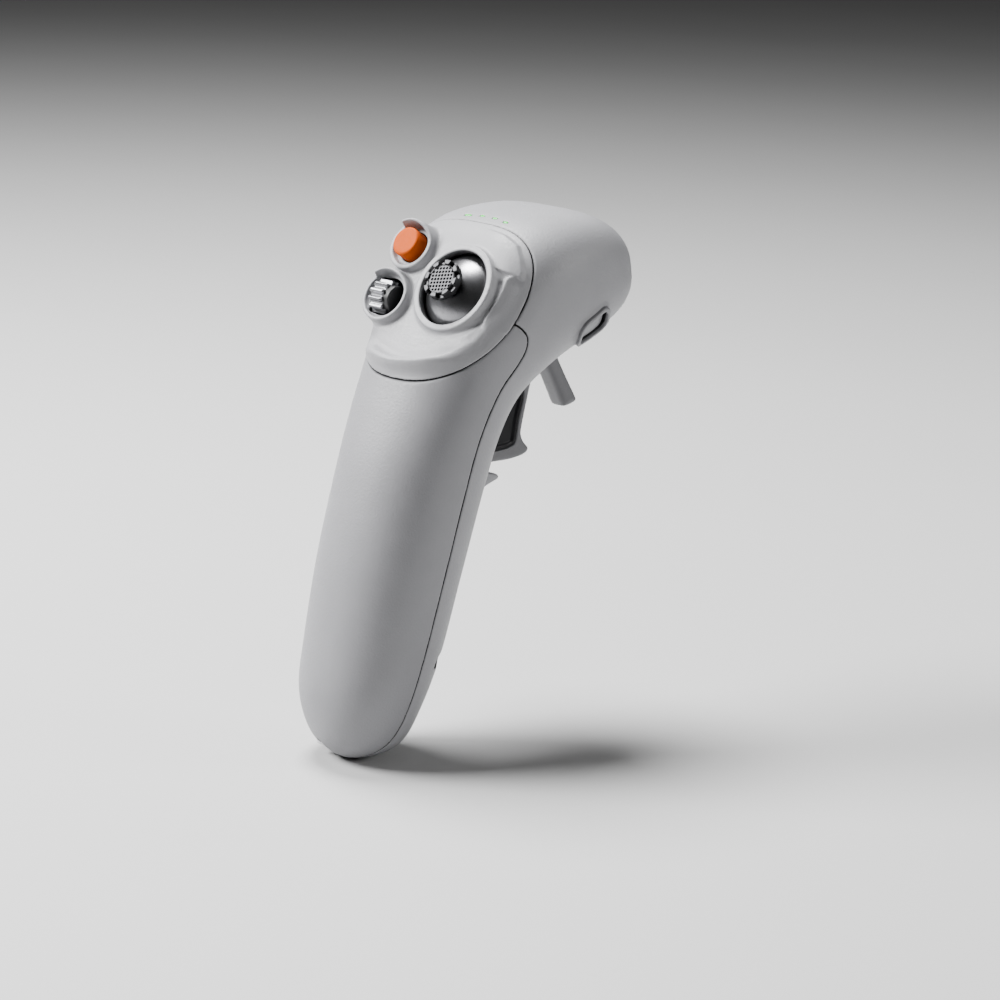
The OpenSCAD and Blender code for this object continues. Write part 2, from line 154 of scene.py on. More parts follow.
def closed_curve(points, steps=6):
    """A smooth closed outline through points."""
    rows = np.array(points, float)
    n = len(rows)
    ring = np.vstack([rows[-2:], rows, rows[:3]])
    t = 2 + np.arange(n * steps) / steps
    return catmull(ring, t)


def outline_distance(px, py, points):
    """Signed distance to a closed outline in a plane, negative inside."""
    best = np.full(np.broadcast(px, py).shape, 1e9)
    inside = np.zeros(best.shape, bool)
    for (ax, ay), (bx, by) in zip(points, np.roll(points, -1, axis=0)):
        ex, ey = bx - ax, by - ay
        wx, wy = px - ax, py - ay
        t = np.clip((wx * ex + wy * ey) / max(ex * ex + ey * ey, 1e-12), 0, 1)
        best = np.minimum(best, (wx - ex * t) ** 2 + (wy - ey * t) ** 2)
        crosses = (ay > py) != (by > py)
        if abs(ey) > 1e-12:
            inside ^= crosses & (px < ax + (py - ay) * ex / ey)
    return np.where(inside, -1, 1) * np.sqrt(best)


def path_distance(px, py, points):
    """Distance to an open line of points in a plane."""
    best = np.full(np.broadcast(px, py).shape, 1e9)
    for (ax, ay), (bx, by) in zip(points[:-1], points[1:]):
        ex, ey = bx - ax, by - ay
        t = np.clip(((px - ax) * ex + (py - ay) * ey) / (ex * ex + ey * ey), 0, 1)
        best = np.minimum(best, (px - ax - ex * t) ** 2 + (py - ay - ey * t) ** 2)
    return np.sqrt(best)


def pill_distance(px, py, length, width):
    """Signed distance to a slot shape with round ends."""
    half = (length - width) / 2
    return np.hypot(px - np.clip(px, -half, half), py) - width / 2


def round_box_distance(px, py, length, width, r):
    """Signed distance to a rectangle with round corners."""
    dx = np.abs(px) - length / 2 + r
    dy = np.abs(py) - width / 2 + r
    return np.hypot(np.maximum(dx, 0), np.maximum(dy, 0)) + np.minimum(np.maximum(dx, dy), 0) - r


class Grid:
    """Sample points of a box. Axis 0 is x; the other two may be tilted with the thumb panel."""

    def __init__(self, low, high, step, tilt=0.0):
        self.low = np.array(low, float)
        self.step = step
        self.tilt = tilt
        axes = [np.arange(a, b + step, step) for a, b in zip(low, high)]
        self.x = axes[0][:, None, None]
        self.u = axes[1][None, :, None]
        self.w = axes[2][None, None, :]
        c, s = math.cos(tilt), math.sin(tilt)
        self.y = self.u * c - self.w * s
        self.z = self.u * s + self.w * c

    def to_design(self, points):
        c, s = math.cos(self.tilt), math.sin(self.tilt)
        x, u, w = points.T
        return np.stack([x, u * c - w * s, u * s + w * c], 1)


def skin_coordinates(y, z):
    """Station number t and place q (+1 outer line, -1 inner line) of side-view points."""
    def line(t):
        row = catmull(STATIONS, t)
        middle = (row[..., 0:2] + row[..., 2:4]) / 2
        return middle, row[..., 0:2] - middle
    p = np.stack([y.ravel(), z.ravel()], 1)
    last = len(STATIONS) - 1
    ts = np.linspace(-0.3, last + 0.3, 90)
    qs = np.linspace(-1.5, 1.5, 13)
    middle, half = line(ts)
    table = middle[:, None] + qs[None, :, None] * half[:, None]
    tt, qq = np.meshgrid(ts, qs, indexing="ij")
    flat = table.reshape(-1, 2)
    best = np.empty(len(p), int)
    for a in range(0, len(p), 4000):
        part = p[a:a + 4000]
        gap = (part[:, None, 0] - flat[None, :, 0]) ** 2 + (part[:, None, 1] - flat[None, :, 1]) ** 2
        best[a:a + 4000] = gap.argmin(1)
    t, q = tt.ravel()[best], qq.ravel()[best]
    for _ in range(7):
        middle, half = line(t)
        middle2, half2 = line(t + 1e-3)
        f = middle + q[:, None] * half - p
        jt = ((middle2 - middle) + q[:, None] * (half2 - half)) / 1e-3
        det = jt[:, 0] * half[:, 1] - jt[:, 1] * half[:, 0]
        det = np.where(np.abs(det) < 1e-6, 1e-6, det)
        dt = (f[:, 0] * half[:, 1] - f[:, 1] * half[:, 0]) / det
        dq = (jt[:, 0] * f[:, 1] - jt[:, 1] * f[:, 0]) / det
        t = np.clip(t - np.clip(dt, -0.4, 0.4), -0.45, last + 0.45)
        q = np.clip(q - np.clip(dq, -0.6, 0.6), -3, 3)
    return t.reshape(y.shape), q.reshape(y.shape)


def end_cap(y, z, row, outward):
    """Signed distance past the flat end at one station, positive outside."""
    middle = np.array([(row[0] + row[2]) / 2, (row[1] + row[3]) / 2])
    along = np.array([row[2] - row[0], row[3] - row[1]])
    normal = np.array([along[1], -along[0]]) / np.hypot(*along)
    if normal @ np.array(outward) < 0:
        normal = -normal
    return (y - middle[0]) * normal[0] + (z - middle[1]) * normal[1]


def body_distance(g):
    """Distance to the outer skin of the whole body, negative inside."""
    t, q = skin_coordinates(g.y[0], g.z[0])
    row = catmull(STATIONS, t)
    a = np.maximum(row[..., 4], 0.8)[None]
    n = np.where(q > 0, row[..., 5], row[..., 6])[None]
    level = ((np.abs(g.x) / a) ** n + np.abs(q)[None] ** n) ** (1 / n) - 1
    slope = np.sqrt(sum(d * d for d in np.gradient(level, g.step)))
    d = np.clip(level / np.maximum(slope, 0.012), -14, 14)
    d = smooth_max(d, end_cap(g.y, g.z, STATIONS[0], (0, -1)), 2.0)
    return smooth_max(d, end_cap(g.y, g.z, STATIONS[-1], (1, 0)), 2.0)


def seam_cylinder(g):
    """Distance outside the arc that parts the thumb panel from the shells."""
    return np.hypot(g.y - SEAM_Y, g.z - SEAM_Z) - SEAM_R


# ---------------------------------------------------------------- surfaces from fields
def sample(f, p):
    """Values of a gridded field at grid-unit points."""
    top = np.array(f.shape) - 2
    i = np.clip(np.floor(p).astype(int), 0, top)
    fx, fy, fz = (p - i).T
    i, j, k = i.T
    out = 0
    for dx, wx in ((0, 1 - fx), (1, fx)):
        for dy, wy in ((0, 1 - fy), (1, fy)):
            for dz, wz in ((0, 1 - fz), (1, fz)):
                out = out + f[i + dx, j + dy, k + dz] * wx * wy * wz
    return out


def surface_net(f):
    """Vertices and quads, in grid units, of the closed surface where the field is zero."""
    f = f.astype(np.float32)
    for ax in range(3):
        edge = np.moveaxis(f, ax, 0)
        edge[0] = np.maximum(edge[0], 0.01)
        edge[-1] = np.maximum(edge[-1], 0.01)
    inside = f < 0
    cells = np.array(f.shape) - 1
    stride = np.array([cells[1] * cells[2], cells[2], 1])
    homes, places, quads = [], [], []
    for ax in range(3):
        unit = np.eye(3, dtype=int)[ax]
        b, c = [k for k in range(3) if k != ax]
        near = np.take(inside, range(f.shape[ax] - 1), ax)
        far = np.take(inside, range(1, f.shape[ax]), ax)
        idx = np.argwhere(near != far)
        va = f[tuple(idx.T)]
        vb = f[tuple((idx + unit).T)]
        at = idx + (va / (va - vb))[:, None] * unit
        corner = []
        for ob, oc in ((0, 0), (1, 0), (1, 1), (0, 1)):
            cell = idx.copy()
            cell[:, b] -= ob
            cell[:, c] -= oc
            home = cell @ stride
            homes.append(home)
            places.append(at)
            corner.append(home)
        quad = np.stack(corner, 1)
        flip = (va < 0) == (ax == 1)
        quad[flip] = quad[flip][:, ::-1]
        quads.append(quad)
    homes = np.concatenate(homes)
    places = np.concatenate(places)
    ids, back = np.unique(homes, return_inverse=True)
    count = np.bincount(back, minlength=len(ids))
    points = np.stack([np.bincount(back, places[:, k], len(ids)) / count for k in range(3)], 1)
    faces = np.searchsorted(ids, np.concatenate(quads))
    for _ in range(3):
        value = sample(f, points)
        slope = np.stack([sample(f, points + e) - sample(f, points - e)
                          for e in np.eye(3) * 0.4], 1) / 0.8
        size = np.maximum((slope ** 2).sum(1), 0.02)
        move = -(value / size)[:, None] * slope
        length = np.linalg.norm(move, axis=1, keepdims=True)
        points = points + move * np.minimum(1, 0.35 / np.maximum(length, 1e-9))
    return points, faces


def to_frame(points):
    """Design millimetres to the part's frame in metres."""
    return (np.asarray(points, float) - (0, BASE_Y, BASE_Z)) * MM


def new_object(name, points, faces, material, body):
    """A smooth-shaded mesh that rides on one body of the frame."""
    mesh = bpy.data.meshes.new(name)
    mesh.from_pydata(to_frame(points).tolist(), [], faces)
    mesh.validate()
    mesh.update()
    mesh.shade_smooth()
    mesh.materials.append(material)
    obj = bpy.data.objects.new(name, mesh)
    bpy.context.scene.collection.objects.link(obj)
    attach(obj, body)
    return obj


def net_object(name, g, f, material, body, nodes):
    """A piece whose surface is where the field f is zero on the grid g."""
    points, faces = surface_net(f)
    obj = new_object(name, g.to_design(g.low + points * g.step), faces.tolist(), material, body)
    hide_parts(*nodes)
    return obj


def mark_depth(obj, g, skin):
    """Stores each vertex's depth below the field's surface, in millimetres, for the painted shade in the
    shaders.
    """
    mesh = obj.data
    places = np.empty(len(mesh.vertices) * 3)
    mesh.vertices.foreach_get("co", places)
    x, y, z = (places.reshape(-1, 3) / MM + (0, BASE_Y, BASE_Z)).T
    c, s = math.cos(g.tilt), math.sin(g.tilt)
    local = np.stack([x, y * c + z * s, z * c - y * s], 1)
    depth = -sample(skin, (local - g.low) / g.step)
    layer = mesh.attributes.new("depth", "FLOAT", "POINT")
    layer.data.foreach_set("value", depth.astype(np.float32))


# ---------------------------------------------------------------- materials
def shader(name, colour, roughness, metallic=0.0):
    """A new material with its node tree and its main shader node."""
    material = bpy.data.materials.new(name)
    material.use_nodes = True
    tree = material.node_tree
    bsdf = tree.nodes["Principled BSDF"]
    bsdf.inputs["Base Color"].default_value = (*colour, 1)
    bsdf.inputs["Roughness"].default_value = roughness
    bsdf.inputs["Metallic"].default_value = metallic
    return material, tree, bsdf


def coordinates(tree, scale=(1, 1, 1)):
    where = tree.nodes.new("ShaderNodeTexCoord")
    mapping = tree.nodes.new("ShaderNodeMapping")
    mapping.inputs["Scale"].default_value = scale
    tree.links.new(where.outputs["Object"], mapping.inputs["Vector"])
    return mapping.outputs["Vector"]


def noise(tree, vector, scale, detail=2.0, rough=0.5):
    node = tree.nodes.new("ShaderNodeTexNoise")
    node.inputs["Scale"].default_value = scale
    node.inputs["Detail"].default_value = detail
    node.inputs["Roughness"].default_value = rough
    tree.links.new(vector, node.inputs["Vector"])
    return node.outputs["Fac"]


def ramp(tree, value, stops):
    node = tree.nodes.new("ShaderNodeValToRGB")
    while len(node.color_ramp.elements) < len(stops):
        node.color_ramp.elements.new(0.5)
    for element, (at, colour) in zip(node.color_ramp.elements, stops):
        element.position = at
        element.color = (*colour, 1)
    tree.links.new(value, node.inputs["Fac"])
    return node.outputs["Color"]


def bump(tree, bsdf, height, strength, distance):
    node = tree.nodes.new("ShaderNodeBump")
    node.inputs["Strength"].default_value = strength
    node.inputs["Distance"].default_value = distance
    tree.links.new(height, node.inputs["Height"])
    tree.links.new(node.outputs["Normal"], bsdf.inputs["Normal"])


def shaded(colour, factor):
    return tuple(min(1.0, c * factor) for c in colour)


def paint_shade_below(tree, colour_out, start, end, dark=(0.008, 0.008, 0.009)):
    """Painted shade: fades a colour to a dark one where the mesh's depth mark goes from start to end, so
    seams, gaps and hollows below the skin are painted dark.
    """
    mark = tree.nodes.new("ShaderNodeAttribute")
    mark.attribute_name = "depth"
    reach = tree.nodes.new("ShaderNodeMapRange")
    reach.inputs["From Min"].default_value = start
    reach.inputs["From Max"].default_value = end
    tree.links.new(mark.outputs["Fac"], reach.inputs["Value"])
    mix = tree.nodes.new("ShaderNodeMix")
    mix.data_type = "RGBA"
    mix.inputs["B"].default_value = (*dark, 1)
    tree.links.new(reach.outputs["Result"], mix.inputs["Factor"])
    tree.links.new(colour_out, mix.inputs["A"])
    return mix.outputs["Result"]


def moulded(name, colour, roughness=0.5, grain=0.6, size=1500.0, spread=0.025, specular=0.5):
    """Moulded plastic: a fine spark-eroded grain with slight mottling, and painted shade below its skin."""
    material, tree, bsdf = shader(name, colour, roughness)
    vector = coordinates(tree)
    mottle = noise(tree, vector, 140.0, 4.0)
    colour_out = ramp(tree, mottle, [(0.3, shaded(colour, 1 - spread)), (0.7, shaded(colour, 1 + spread))])
    # painted shade: the colour goes dark where the surface lies 0.1 to 0.32 mm below the skin, in seams and
    # hollows
    tree.links.new(paint_shade_below(tree, colour_out, 0.1, 0.32), bsdf.inputs["Base Color"])
    fine = noise(tree, vector, size, 2.0, 0.6)
    rough_out = ramp(tree, fine, [(0.3, (roughness - 0.08,) * 3), (0.7, (roughness + 0.08,) * 3)])
    tree.links.new(rough_out, bsdf.inputs["Roughness"])
    bump(tree, bsdf, fine, grain, 0.00012)
    bsdf.inputs["Specular IOR Level"].default_value = specular
    return material


def metal(name, colour, roughness, stretch=(1, 1, 1), grain=0.08, size=900.0, vary=0.07):
    """Machined or satin metal with fine marks, drawn out along one direction, and painted shade below its
    skin.
    """
    material, tree, bsdf = shader(name, colour, roughness, 1.0)
    vector = coordinates(tree, stretch)
    marks = noise(tree, vector, size, 3.0, 0.6)
    rough_out = ramp(tree, marks, [(0.3, (roughness - vary,) * 3), (0.7, (roughness + vary,) * 3)])
    tree.links.new(rough_out, bsdf.inputs["Roughness"])
    colour_out = ramp(tree, marks, [(0.2, shaded(colour, 0.92)), (0.8, colour)])
    # painted shade: the colour goes dark where the surface lies 0.1 to 0.3 mm below the skin
    tree.links.new(paint_shade_below(tree, colour_out, 0.1, 0.3), bsdf.inputs["Base Color"])
    bump(tree, bsdf, marks, grain, 0.00003)
    return material


def glowing(name, colour, strength):
    """A lit, clear plastic lens."""
    material, tree, bsdf = shader(name, colour, 0.25)
    vector = coordinates(tree)
    cloud = noise(tree, vector, 1500.0, 2.0)
    colour_out = ramp(tree, cloud, [(0.3, shaded(colour, 0.85)), (0.7, colour)])
    tree.links.new(colour_out, bsdf.inputs["Base Color"])
    bump(tree, bsdf, cloud, 0.05, 0.00003)
    bsdf.inputs["Emission Color"].default_value = (*colour, 1)
    bsdf.inputs["Emission Strength"].default_value = strength
    return material


SHELL = moulded("shell_plastic", (0.26, 0.26, 0.272))
PALM = moulded("grip_plastic", (0.225, 0.225, 0.236))
PANEL = moulded("panel_plastic", (0.28, 0.28, 0.292))
TRIM = moulded("trim_plastic", (0.19, 0.19, 0.2), 0.42, 0.2)
TRIGGER = moulded("trigger_plastic", (0.1, 0.1, 0.106), 0.5, 0.3)
ORANGE = moulded("orange_plastic", (0.45, 0.066, 0.0), 0.6, 0.06, 1800.0, 0.03, specular=0.1)
DIAL = metal("dial_plastic", (0.2, 0.2, 0.21), 0.34, grain=0.004, size=5000.0, vary=0.01)
BLACK = moulded("black_plastic", (0.012, 0.012, 0.013), 0.5, 0.25)
GLOSS = moulded("black_gloss", (0.006, 0.006, 0.007), 0.4, 0.02, 700.0, specular=0.12)
INNER = moulded("inner_plastic", (0.03, 0.03, 0.032), 0.6, 0.3)
RUBBER = moulded("dark_rubber", (0.2, 0.2, 0.21), 0.7, 0.4, 2000.0)
CHROME = metal("chrome", (0.04, 0.04, 0.042), 0.42, grain=0.004, size=5000.0, vary=0.01)
DOME = metal("dome_metal", (0.27, 0.27, 0.283), 0.28, grain=0.001, size=6000.0, vary=0.008)
STEEL = metal("steel", (0.6, 0.6, 0.62), 0.3, (1, 1, 8))
ALUMINIUM = metal("aluminium", (0.72, 0.72, 0.74), 0.32)
BRASS = metal("brass", (0.7, 0.5, 0.22), 0.3)
BOARD = moulded("board", (0.02, 0.13, 0.06), 0.3, 0.15, 600.0, 0.15)
GREEN = glowing("green_light", (0.01, 0.55, 0.03), 0.45)
WRAP = moulded("cell_wrap", (0.03, 0.16, 0.34), 0.3, 0.1, 500.0)


# ---------------------------------------------------------------- the shells
def side_button_coordinates(g):
    """Forward, up and outward distances from the side button's centre."""
    out = np.array([math.cos(SIDE_TILT), 0, -math.sin(SIDE_TILT)])
    up = np.array([math.sin(SIDE_TILT), 0, math.cos(SIDE_TILT)])
    c, s = math.cos(SIDE_TURN), math.sin(SIDE_TURN)
    x, y, z = g.x - SIDE_AT[0], g.y - SIDE_AT[1], g.z - SIDE_AT[2]
    rise = x * up[0] + z * up[2]
    return y * c + rise * s, rise * c - y * s, x * out[0] + z * out[2]


# Side-view outlines (y, z): the finger guard, and the slots that the trigger and its lever pass through
GUARD = [(9.8, -53), (20.5, -53.4), (24, -54.4), (25.2, -55.4), (24.6, -56.6), (20, -57.8), (12, -61),
         (8, -64.5)]
SLOT_OUTLINE = [(10, -52.4), (10, -42), (13, -34), (20, -25), (29, -16.6), (44.5, -16.6), (44.5, -30),
                (30, -52.4)]
LEVER_SLOT = [(38, -17.4), (50.5, -17.4), (52.5, -28), (38, -28)]
# Screw holes, one on each side: distance from the middle, height, and depth of the hole's end
POSTS = ((14.0, -44.0, 2.0), (14.0, -98.0, -15.0))
POST_HOLE_R = 2.2
LANYARD = (-4.0, -31.6, -120.6)
LANYARD_LEAN = math.radians(-37)


def shell_fields(g):
    """The outer skin with its guard, the hollow shell cut from it, and the side button's directions."""
    d = body_distance(g)
    guard = outline_distance(g.y, g.z, np.array(GUARD))
    guard = smooth_max(guard + 0.4, np.abs(g.x) - 3.6, 0.9)
    outer = smooth_min(d, guard, 2.2)
    fore, rise, out = side_button_coordinates(g)
    rim = round_box_distance(fore, rise, 12.8, 9.8, 3.4)
    skirt = smooth_max(rim, d - 0.3, 0.5)
    outer = np.where(g.x > 12, smooth_min(outer, smooth_max(skirt, np.abs(out) - 6, 0.5), 1.0), outer)
    shell = smooth_max(outer, -(d + WALL), 0.3)
    shell = smooth_max(shell, -(seam_cylinder(g) - SEAM_GAP / 2), EDGE)
    # the charging flap's opening, the lanyard slot and the screw holes
    flap = pill_distance(g.x, g.y - FLAP_Y, FLAP_L + 0.6, FLAP_W + 0.6)
    shell = smooth_max(shell, -np.maximum(flap, g.z + 110), 0.25)
    c, s = math.cos(LANYARD_LEAN), math.sin(LANYARD_LEAN)
    ly, lz = g.y - LANYARD[1], g.z - LANYARD[2]
    slot = pill_distance(ly * c + lz * s, g.x - LANYARD[0], 6.4, 2.4)
    shell = smooth_max(shell, -np.maximum(slot, np.abs(lz * c - ly * s) - 5), 0.3)
    for x, z, y in POSTS:
        hole = np.maximum(np.hypot(np.abs(g.x) - x, g.z - z) - POST_HOLE_R, y - g.y)
        shell = smooth_max(shell, -hole, 0.2)
    return outer, shell, (fore, rise, out)


def build_shells():
    step = 0.4
    g = Grid((-28.5, -41, -127), (28.5, 64.5, 20), step)
    outer, shell, (fore, rise, out) = shell_fields(g)
    region = np.array(list(open_curve(PALM_SEAM)) + [(-70, -140), (-70, 20)])
    palm = outline_distance(g.y, g.z, region)
    piece = net_object("palm_shell_skin", g, smooth_max(shell, palm + SEAM_GAP / 2, EDGE), PALM, "body",
                       ["palm_shell"])
    # painted shade in the seam walls and holes below the outer skin
    mark_depth(piece, g, outer)
    main = smooth_max(shell, SEAM_GAP / 2 - palm, EDGE)
    slot = np.maximum(outline_distance(g.y, g.z, np.array(SLOT_OUTLINE)), np.abs(g.x) - TRIGGER_W / 2 - 0.6)
    main = smooth_max(main, -slot, 0.4)
    slot = np.maximum(outline_distance(g.y, g.z, np.array(LEVER_SLOT)), np.abs(g.x) - LEVER_W / 2 - 0.6)
    main = smooth_max(main, -slot, 0.4)
    hole = np.maximum(round_box_distance(fore, rise, 10.6, 7.6, 2.6), np.abs(out) - 8)
    main = smooth_max(main, -np.where(g.x > 12, hole, 9), 0.3)
    hole = np.maximum(pill_distance(g.x, g.z - FRONT_Z, FRONT_L + 0.1, FRONT_W + 0.1), 45 - g.y)
    main = smooth_max(main, -hole, 0.2)
    for x in LIGHT_X:
        hole = np.maximum(pill_distance(g.x - x, g.y - light_y(x), light_l(x) + 0.2, 0.9), 8 - g.z)
        main = np.maximum(main, -hole)
    piece = net_object("main_shell_skin", g, main, SHELL, "body", ["main_shell"])
    # painted shade in the seam walls, slots and holes below the outer skin
    mark_depth(piece, g, outer)


def light_y(x):
    """How far forward a charge light sits, on a shallow arc."""
    return 19.6 - 0.018 * x * x


def light_l(x):
    """A charge light's length: the first is the longest."""
    return 2.4 if x == LIGHT_X[0] else 1.5


# ---------------------------------------------------------------- the thumb panel
# Its face is cut flat, a little below the joystick ring, above the chin line. The outlines are in
# the panel's plane (x, u): the chin's crest, the bead beside the ring, the wing above it, and the
# sunk ground between them. Their rises and depths follow.
FACE_W = -1.3
CHIN = [(-13.5, -20.4), (-6.3, -22.3), (-0.5, -22.8), (7.8, -21.2), (14.7, -17.8), (19, -12.8),
        (20.3, -8.2)]
RIDGE = [(20.6, -8.4), (20.2, -7), (19.2, -5.6), (19.8, -1.3), (19.9, 2.4), (19.6, 6), (20.3, 7.4)]
WING = [(-4, 9), (20.2, 7.4), (22.2, 7.6), (21.6, 10), (19.8, 13), (17, 16.4), (12, 18.4), (4, 19.4),
        (-4, 19.6)]
INSET = CHIN[:-1] + RIDGE[:-1] + [(12, 6), (4, 9), (-20, 9), (-20, -12)]
CHIN_RISE = 3.0
BEAD_RISE = 0.6
WING_RISE = 0.75
INSET_DEPTH = 0.6
MOAT_DEPTH = 0.9
MOAT_R = 13.4


def above_chin():
    """The part of the panel's plane above the crest of its chin."""
    return np.array([(-30, -20)] + open_curve(CHIN, 5).tolist() + [(30, -4), (30, 30), (-30, 30)])


def face_relief(x, u):
    """How far the panel's skin stands above the plain skin, over the panel's plane."""
    chin = path_distance(x, u, open_curve(CHIN, 5))
    ridge = path_distance(x, u, open_curve(RIDGE, 5))
    wing = step_up(-outline_distance(x, u, np.array(WING)), -0.1, 0.5) * step_up(x, 3, 14)
    inset = step_up(-outline_distance(x, u, np.array(INSET)), 0.4, 2.6) * step_up(x, 6, 13)
    above = outline_distance(x, u, above_chin())
    relief = CHIN_RISE * np.where(above < 0, np.exp(-(chin / 5.5) ** 2), np.exp(-(chin / 2.7) ** 3))
    relief *= (1 - 0.8 * step_up(x, 9, 20)) * step_up(x, -20, -8)
    moat = np.exp(-((np.hypot(x - STICK_X, u) - MOAT_R) / 1.0) ** 2)
    moat = moat * step_up(0.8 * (x - STICK_X) - 0.6 * u, 4, 12)
    relief += WING_RISE * wing - INSET_DEPTH * inset - MOAT_DEPTH * moat
    bead = np.exp(-(ridge / 0.8) ** 2)
    return relief * (1 - bead) + BEAD_RISE * bead


# Each cup's hood ends sharply on its left and fades away to its right, over these half angles
HOOD_END = 5
HOOD_FADE = 50
LOCK_CUP = {"r": 6.9, "lip": 0.9, "hood": 3.7, "hood_left": 131, "hood_right": 58,
            "inner": 5.5, "floor": -0.9, "hole": LOCK_R + 0.3}
DIAL_CUP = {"r": 7.3, "lip": 0.9, "hood": 3.1, "hood_left": 137, "hood_right": 66,
            "inner": 6.2, "floor": -0.4, "hole": 5.4}


def cup_field(away, angle, w, cup):
    """A raised cup, with a higher hood round part of its rim, and the hollow to cut from it."""
    left = step_up(angle, math.radians(cup["hood_left"] - HOOD_END),
                   math.radians(cup["hood_left"] + HOOD_END))
    right = step_up(angle, math.radians(cup["hood_right"] - HOOD_FADE),
                    math.radians(cup["hood_right"] + HOOD_FADE))
    height = cup["lip"] + (cup["hood"] - cup["lip"]) * right * (1 - left)
    outer = smooth_max(away - cup["r"] - 0.12 * (cup["lip"] - w), w - height, 0.5)
    hollow = smooth_max(away - cup["inner"] - 0.1 * (w - cup["floor"]), cup["floor"] - w, 0.6)
    return outer, hollow


def build_panel():
    step = 0.24
    g = Grid((-27.5, -31, -18), (27.5, 24.5, 5.6), step, PANEL_TILT)
    d = body_distance(g)
    skin = d - face_relief(g.x, g.u)
    carve = smooth_max(FACE_W - g.w, outline_distance(g.x, g.u, above_chin() + (0, 0.5)), 4.5)
    skin = smooth_max(skin, -carve, 2.2)
    away = np.hypot(g.x - STICK_X, g.u)
    lip = smooth_max(away - RING_LIP, g.w, 0.45)
    skin = smooth_min(skin, lip, 1.4)
    hollows = []
    for (x, u), cup in ((LOCK_AT, LOCK_CUP), (DIAL_AT, DIAL_CUP)):
        cup_away = np.hypot(g.x - x, g.u - u)
        outer, hollow = cup_field(cup_away, np.arctan2(g.u - u, g.x - x), g.w, cup)
        skin = smooth_min(skin, outer, 1.1)
        hollows.append((hollow, cup_away, cup["hole"]))
    for hollow, cup_away, hole in hollows:
        skin = smooth_max(skin, -hollow, 0.4)
    shell = smooth_max(skin, -(skin + WALL), 0.3)
    for hollow, cup_away, hole in hollows:
        shell = smooth_max(shell, hole - cup_away, 0.25)
    well = smooth_max(np.abs(g.x - WHEEL_X) - 3.1, np.abs(g.u - DIAL_AT[1]) - 5.1, 1.2)
    shell = smooth_max(shell, -smooth_max(well, -g.w - 9, 0.2), 0.25)
    shell = smooth_max(shell, RING_R - away, 0.4)
    ball = np.sqrt(away ** 2 + (g.w + GIMBAL_DEPTH) ** 2)
    shell = np.maximum(shell, DOME_R + 0.4 - ball)
    shell = smooth_max(shell, seam_cylinder(g) + SEAM_GAP / 2, EDGE)
    piece = net_object("thumb_panel_skin", g, shell, PANEL, "body", ["thumb_panel"])
    # painted shade in the seam, the cups' hollows and the ring's opening below the panel's skin
    mark_depth(piece, g, skin)


# ---------------------------------------------------------------- controls on the panel
def in_panel_grid(low, high, step):
    """A grid that leans with the thumb panel."""
    return Grid(low, high, step, PANEL_TILT)


def lathe(name, profile, x, u, w, material, body, nodes, slot, sides=96):
    """A turned piece about the panel's normal at (x, u); profile is (radius, height) pairs."""
    profile = np.array(profile, float)
    angle = np.linspace(0, 2 * math.pi, sides, endpoint=False)
    points, faces = [], []
    rings = []
    for r, h in profile:
        if r < 1e-6:
            rings.append([len(points)])
            points.append((x, u, w + h))
        else:
            rings.append(list(range(len(points), len(points) + sides)))
            points += [(x + r * math.cos(a), u + r * math.sin(a), w + h) for a in angle]
    for one, two in zip(rings[:-1], rings[1:]):
        for k in range(sides):
            a, b = one[k % len(one)], one[(k + 1) % len(one)]
            c, d = two[(k + 1) % len(two)], two[k % len(two)]
            face = [a, b, c, d]
            if len(one) == 1:
                face = [a, c, d]
            elif len(two) == 1:
                face = [a, b, c]
            faces.append(face)
    g = in_panel_grid((0, 0, 0), (1, 1, 1), 1)
    obj = new_object(name, g.to_design(np.array(points)), faces, material, body)
    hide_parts(*nodes)
    return obj


def fillet(centre_r, centre_h, r, start, end, count=8):
    """Points of a rounded corner, angles in degrees from the outward direction."""
    return [(centre_r + r * math.cos(math.radians(a)), centre_h + r * math.sin(math.radians(a)))
            for a in np.linspace(start, end, count)]


